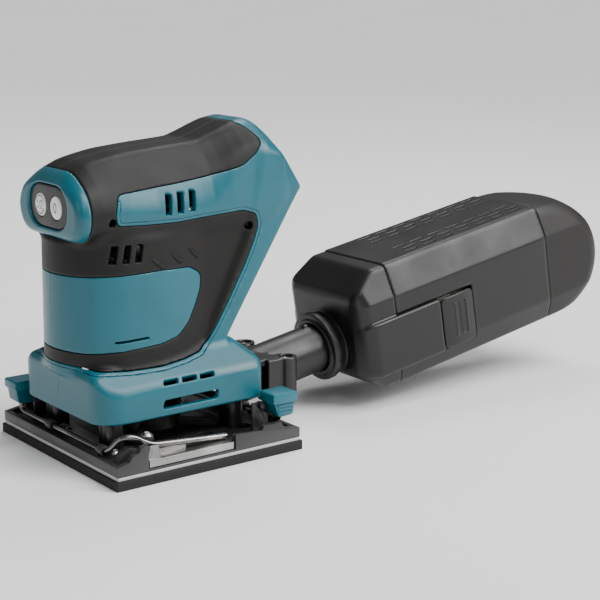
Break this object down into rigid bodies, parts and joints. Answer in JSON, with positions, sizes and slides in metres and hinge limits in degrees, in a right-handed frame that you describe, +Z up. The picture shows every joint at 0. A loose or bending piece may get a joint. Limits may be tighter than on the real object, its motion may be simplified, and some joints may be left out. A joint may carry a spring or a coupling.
{
  "type": "orbital sander",
  "caption": "Cordless quarter-sheet orbital finishing sander with clamp levers, soft grip, slanted battery slot and removable dust box.",
  "frame": {"origin": "centre of the pad's sanding face, on the motor axis", "axes": "+Z up along the motor axis away from the work, +X towards the dust box (rear), -X towards the switch (front), -Y the operator's left side of the tool"},
  "size_m": [0.342, 0.112, 0.1535],
  "materials": {
    "shell_teal": "moulded shell, fine grain, satin gloss",
    "soft_grip": "soft overmould, matt",
    "black_plastic": "moulded black plastic, satin",
    "box_plastic": "moulded warm black plastic, satin",
    "boot_rubber": "soft, matt",
    "button_white": "smooth white",
    "circuit_board": "green laminate with dark components",
    "steel": "ground steel",
    "dark_steel": "black oxide",
    "contact_metal": "plated contact",
    "magnet": "sintered magnet",
    "laminations": "stacked steel sheet",
    "copper": "enamelled copper wire",
    "carbon": "pressed carbon",
    "base_paint": "black painted casting",
    "light_layer": "light grey backing layer",
    "foam": "closed-cell foam, matt",
    "clamp_steel": "bright plated steel",
    "wire_steel": "bright spring wire",
    "filter_paper": "pleated filter medium"
  },
  "bodies": {
    "housing": {"housing_left": "shell_teal", "housing_right": "shell_teal", "grip_left": "soft_grip", "grip_right": "soft_grip", "switch_bezel": "shell_teal", "switch_boot": "boot_rubber", "switch_board": "circuit_board", "controller_board": "circuit_board", "housing_screws": "dark_steel", "battery_terminal": "black_plastic", "terminal_blades": "contact_metal", "motor_can": "steel", "motor_magnets": "magnet", "motor_end_bell": "black_plastic", "motor_brushes": "carbon", "upper_bearing_outer": "steel", "lower_bearing_outer": "steel", "dust_nozzle": "black_plastic", "nozzle_screws": "dark_steel", "nozzle_seal": "boot_rubber"},
    "rotor": {"rotor_core": "laminations", "rotor_windings": "copper", "commutator": "contact_metal", "motor_shaft": "steel", "upper_bearing_inner": "steel", "lower_bearing_inner": "steel", "fan": "black_plastic", "eccentric": "steel", "pad_bearing_inner": "steel"},
    "pad": {"base_plate": "base_paint", "pad_layer": "light_layer", "pad_cushion": "foam", "foot_posts": "soft_grip", "pad_bearing_outer": "steel", "clamp_pins": "steel", "lever_clips": "clamp_steel", "clamp_screws": "wire_steel", "lever_catches": "dark_steel"},
    "clamp_left": {"clamp_plate_left": "clamp_steel"},
    "clamp_right": {"clamp_plate_right": "clamp_steel"},
    "lever_left": {"lever_left": "wire_steel", "lever_knob_left": "shell_teal"},
    "lever_right": {"lever_right": "wire_steel", "lever_knob_right": "shell_teal"},
    "button_speed": {"button_speed": "button_white"},
    "button_off": {"button_off": "button_white"},
    "box_front": {"box_front": "box_plastic"},
    "box": {"box_body": "box_plastic", "box_cap": "box_plastic", "filter_frame": "black_plastic", "filter_element": "filter_paper"},
    "latch_left": {"latch_left": "box_plastic"},
    "latch_right": {"latch_right": "box_plastic"}
  },
  "joints": [
    {"name": "motor_spin", "type": "hinge", "parent": "housing", "child": "rotor", "pos_m": [0, 0, 0.03], "axis": [0, 0, 1], "continuous": true},
    {"name": "pad_orbit", "type": "hinge", "parent": "rotor", "child": "pad", "pos_m": [0.00075, 0, 0.016], "axis": [0, 0, 1], "continuous": true},
    {"name": "speed_press", "type": "slide", "parent": "housing", "child": "button_speed", "axis": [1, 0, 0], "range_m": [0, 0.0012], "stiffness_N_per_m": 400, "springref_m": -0.0015},
    {"name": "off_press", "type": "slide", "parent": "housing", "child": "button_off", "axis": [1, 0, 0], "range_m": [0, 0.0012], "stiffness_N_per_m": 400, "springref_m": -0.0015},
    {"name": "lever_left_swing", "type": "hinge", "parent": "pad", "child": "lever_left", "pos_m": [-0.0455, 0, 0.0128], "axis": [0, -1, 0], "range_deg": [0, 25]},
    {"name": "lever_right_swing", "type": "hinge", "parent": "pad", "child": "lever_right", "pos_m": [0.0455, 0, 0.0128], "axis": [0, 1, 0], "range_deg": [0, 25]},
    {"name": "clamp_left_lift", "type": "hinge", "parent": "pad", "child": "clamp_left", "pos_m": [-0.02, -0.0464, 0.0129], "axis": [-1, 0, 0], "range_deg": [0, 20]},
    {"name": "clamp_right_lift", "type": "hinge", "parent": "pad", "child": "clamp_right", "pos_m": [0.02, 0.0464, 0.0129], "axis": [1, 0, 0], "range_deg": [0, 20]},
    {"name": "box_pull", "type": "slide", "parent": "housing", "child": "box_front", "axis": [0.9848, 0, 0.1736], "range_m": [0, 0.03]},
    {"name": "box_open", "type": "slide", "parent": "box_front", "child": "box", "axis": [0.9848, 0, 0.1736], "range_m": [0, 0.06]},
    {"name": "latch_left_press", "type": "slide", "parent": "box", "child": "latch_left", "axis": [0, 1, 0], "range_m": [0, 0.0015], "stiffness_N_per_m": 500, "springref_m": -0.001},
    {"name": "latch_right_press", "type": "slide", "parent": "box", "child": "latch_right", "axis": [0, -1, 0], "range_m": [0, 0.0015], "stiffness_N_per_m": 500, "springref_m": -0.001}
  ],
  "couplings": [
    {"joint": "pad_orbit", "follows": "motor_spin", "ratio": -1},
    {"joint": "clamp_left_lift", "follows": "lever_left_swing", "ratio": 0.8},
    {"joint": "clamp_right_lift", "follows": "lever_right_swing", "ratio": 0.8}
  ]
}
